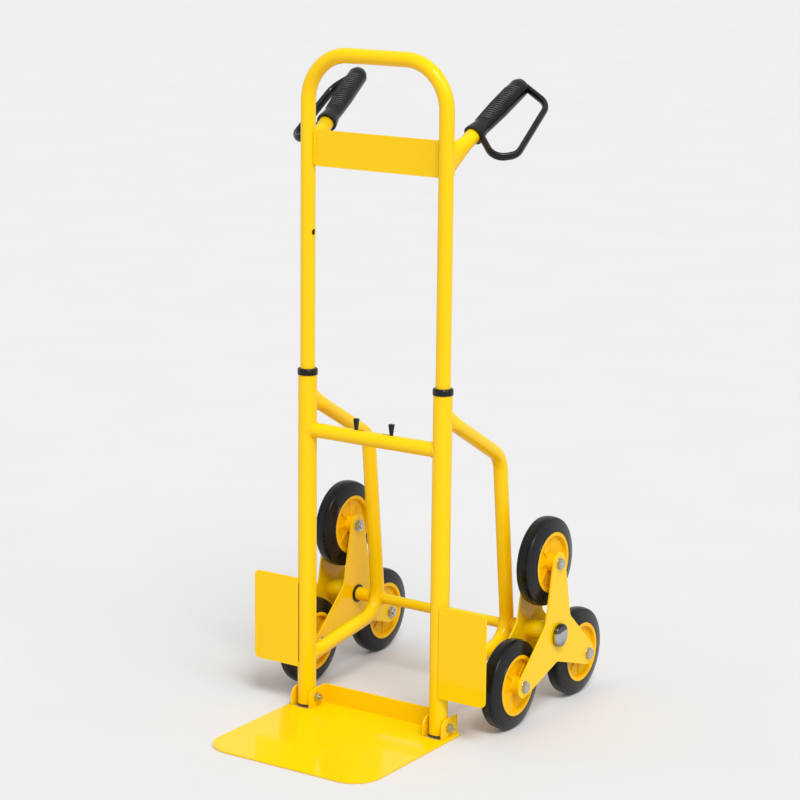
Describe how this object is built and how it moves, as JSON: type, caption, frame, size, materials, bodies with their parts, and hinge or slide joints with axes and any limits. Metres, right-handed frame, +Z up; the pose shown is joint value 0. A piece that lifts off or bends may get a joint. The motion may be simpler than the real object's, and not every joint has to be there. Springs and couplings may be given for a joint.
{
  "type": "stair-climbing hand truck",
  "caption": "Folding stair-climbing hand truck: sliding loop handle with side grips, hinged toe plate and two rotating three-wheel stars.",
  "frame": {"origin": "on the floor under the toe plate, midway between the two uprights' axes", "axes": "+Z up along the uprights, +Y from the toe plate towards the wheels, X along the axle"},
  "size_m": [0.4908, 0.6677, 1.1335],
  "materials": {
    "yellow_powder_coat": "gloss powder coat",
    "black_plastic": "satin moulded",
    "black_grip": "textured moulded",
    "tyre_rubber": "satin",
    "yellow_plastic": "moulded",
    "zinc": "zinc plated",
    "bright_cap": "polished"
  },
  "bodies": {
    "frame": {"upright_left": "yellow_powder_coat", "upright_right": "yellow_powder_coat", "crossbar": "yellow_powder_coat", "rear_frame_left": "yellow_powder_coat", "rear_frame_right": "yellow_powder_coat", "axle": "yellow_powder_coat", "side_plate_left": "yellow_powder_coat", "side_plate_right": "yellow_powder_coat", "collar_left": "black_plastic", "collar_right": "black_plastic", "axle_caps": "bright_cap", "axle_spacers": "yellow_powder_coat", "toe_pivot_bolts": "zinc", "toe_pivot_nuts": "zinc"},
    "handle": {"handle_loop": "yellow_powder_coat", "badge_plate": "yellow_powder_coat", "handle_stub_left": "yellow_powder_coat", "handle_stub_right": "yellow_powder_coat", "grip_left": "black_grip", "grip_right": "black_grip", "slide_plugs": "black_plastic"},
    "toe_plate": {"toe_plate": "yellow_powder_coat", "toe_ears": "yellow_powder_coat"},
    "latch_left": {"latch_lever_left": "black_plastic", "latch_pin_left": "zinc"},
    "star_left": {"star_outer_plate_left": "yellow_powder_coat", "star_inner_plate_left": "yellow_powder_coat", "star_sleeve_left": "yellow_powder_coat", "star_bushes_left": "black_plastic", "wheel_bolts_left": "zinc", "wheel_nuts_left": "zinc"},
    "wheel_left_top": {"tyre_left_top": "tyre_rubber", "hub_left_top": "yellow_plastic", "wheel_bush_left_top": "zinc"},
    "wheel_left_front": {"tyre_left_front": "tyre_rubber", "hub_left_front": "yellow_plastic", "wheel_bush_left_front": "zinc"},
    "wheel_left_rear": {"tyre_left_rear": "tyre_rubber", "hub_left_rear": "yellow_plastic", "wheel_bush_left_rear": "zinc"},
    "latch_right": {"latch_lever_right": "black_plastic", "latch_pin_right": "zinc"},
    "star_right": {"star_outer_plate_right": "yellow_powder_coat", "star_inner_plate_right": "yellow_powder_coat", "star_sleeve_right": "yellow_powder_coat", "star_bushes_right": "black_plastic", "wheel_bolts_right": "zinc", "wheel_nuts_right": "zinc"},
    "wheel_right_top": {"tyre_right_top": "tyre_rubber", "hub_right_top": "yellow_plastic", "wheel_bush_right_top": "zinc"},
    "wheel_right_front": {"tyre_right_front": "tyre_rubber", "hub_right_front": "yellow_plastic", "wheel_bush_right_front": "zinc"},
    "wheel_right_rear": {"tyre_right_rear": "tyre_rubber", "hub_right_rear": "yellow_plastic", "wheel_bush_right_rear": "zinc"}
  },
  "joints": [
    {"name": "handle_slide", "type": "slide", "parent": "frame", "child": "handle", "axis": [0, 0, -1], "range_m": [0, 0.3357]},
    {"name": "toe_plate_hinge", "type": "hinge", "parent": "frame", "child": "toe_plate", "pos_m": [0, 0, 0.0205], "axis": [-1, 0, 0], "range_deg": [0, 90]},
    {"name": "latch_left_slide", "type": "slide", "parent": "frame", "child": "latch_left", "axis": [1, 0, 0], "range_m": [0, 0.014], "stiffness_N_per_m": 400, "springref_m": -0.012},
    {"name": "star_left_spin", "type": "hinge", "parent": "frame", "child": "star_left", "pos_m": [-0.207, 0.2173, 0.1403], "axis": [1, 0, 0], "continuous": true},
    {"name": "wheel_left_top_spin", "type": "hinge", "parent": "star_left", "child": "wheel_left_top", "pos_m": [-0.2065, 0.2173, 0.2663], "axis": [1, 0, 0], "continuous": true},
    {"name": "wheel_left_front_spin", "type": "hinge", "parent": "star_left", "child": "wheel_left_front", "pos_m": [-0.2065, 0.10818, 0.0773], "axis": [1, 0, 0], "continuous": true},
    {"name": "wheel_left_rear_spin", "type": "hinge", "parent": "star_left", "child": "wheel_left_rear", "pos_m": [-0.2065, 0.32642, 0.0773], "axis": [1, 0, 0], "continuous": true},
    {"name": "latch_right_slide", "type": "slide", "parent": "frame", "child": "latch_right", "axis": [-1, 0, 0], "range_m": [0, 0.014], "stiffness_N_per_m": 400, "springref_m": -0.012},
    {"name": "star_right_spin", "type": "hinge", "parent": "frame", "child": "star_right", "pos_m": [0.207, 0.2173, 0.1403], "axis": [1, 0, 0], "continuous": true},
    {"name": "wheel_right_top_spin", "type": "hinge", "parent": "star_right", "child": "wheel_right_top", "pos_m": [0.2065, 0.2173, 0.2663], "axis": [1, 0, 0], "continuous": true},
    {"name": "wheel_right_front_spin", "type": "hinge", "parent": "star_right", "child": "wheel_right_front", "pos_m": [0.2065, 0.10818, 0.0773], "axis": [1, 0, 0], "continuous": true},
    {"name": "wheel_right_rear_spin", "type": "hinge", "parent": "star_right", "child": "wheel_right_rear", "pos_m": [0.2065, 0.32642, 0.0773], "axis": [1, 0, 0], "continuous": true}
  ]
}
